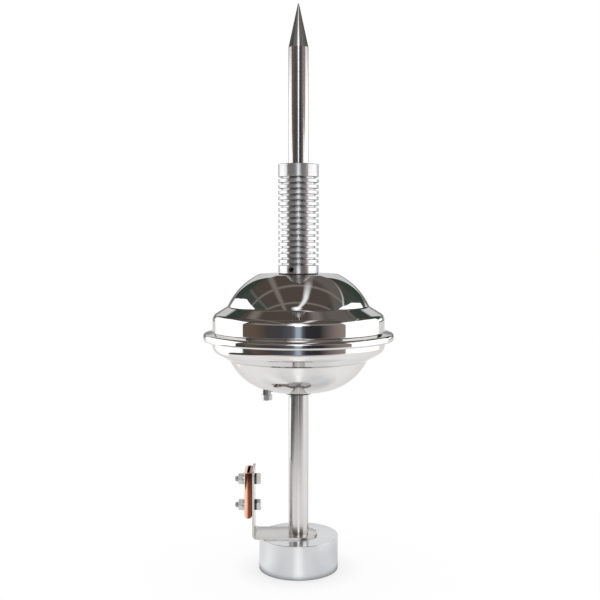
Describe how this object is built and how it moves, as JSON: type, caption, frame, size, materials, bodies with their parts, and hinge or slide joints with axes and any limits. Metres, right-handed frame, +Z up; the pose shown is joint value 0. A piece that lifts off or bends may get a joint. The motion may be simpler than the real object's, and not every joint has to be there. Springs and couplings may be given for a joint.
{
  "type": "lightning rod",
  "caption": "Early-streamer lightning air terminal: pointed rod, finned sleeve and polished two-shell charge body on a support rod with mast coupling and copper conductor clamp.",
  "frame": {"origin": "middle of the mast coupling's lower face, on the common axis of all turned pieces", "axes": "+Z up along the axis to the point, -X towards the conductor clamp, -Y towards the viewer"},
  "size_m": [0.1912, 0.1912, 0.5648],
  "materials": {
    "polished_steel": "polished",
    "turned_aluminium": "satin",
    "bracket_steel": "satin",
    "fastener_steel": "satin",
    "dark_steel": "satin",
    "copper": "polished",
    "bronze": "satin",
    "insulator": "matte",
    "potting": "matte",
    "seal_rubber": "matte"
  },
  "bodies": {
    "root": {"support_rod": "polished_steel", "tip_rod": "polished_steel", "upper_dome": "polished_steel", "lower_bowl": "polished_steel", "base_coupling": "turned_aluminium", "finned_sleeve": "turned_aluminium", "conductor_bracket": "bracket_steel", "copper_saddle": "copper", "clamp_bolts": "fastener_steel", "clamp_nuts": "fastener_steel", "nut_washers": "fastener_steel", "spring_washers": "dark_steel", "rod_lock_washer": "fastener_steel", "rod_lock_nut": "fastener_steel", "lower_insulator": "insulator", "upper_insulator": "insulator", "bowl_pad": "insulator", "dome_pad": "insulator", "terminal_seat": "insulator", "bowl_washer": "fastener_steel", "bowl_nut": "fastener_steel", "unit_nut": "fastener_steel", "dome_washer": "fastener_steel", "dome_nut": "fastener_steel", "pulse_unit": "potting", "contact_spring": "bronze", "rim_seal": "seal_rubber", "set_screw": "dark_steel", "terminal_bolt": "fastener_steel", "terminal_collar": "fastener_steel", "terminal_nut": "fastener_steel"}
  },
  "joints": []
}
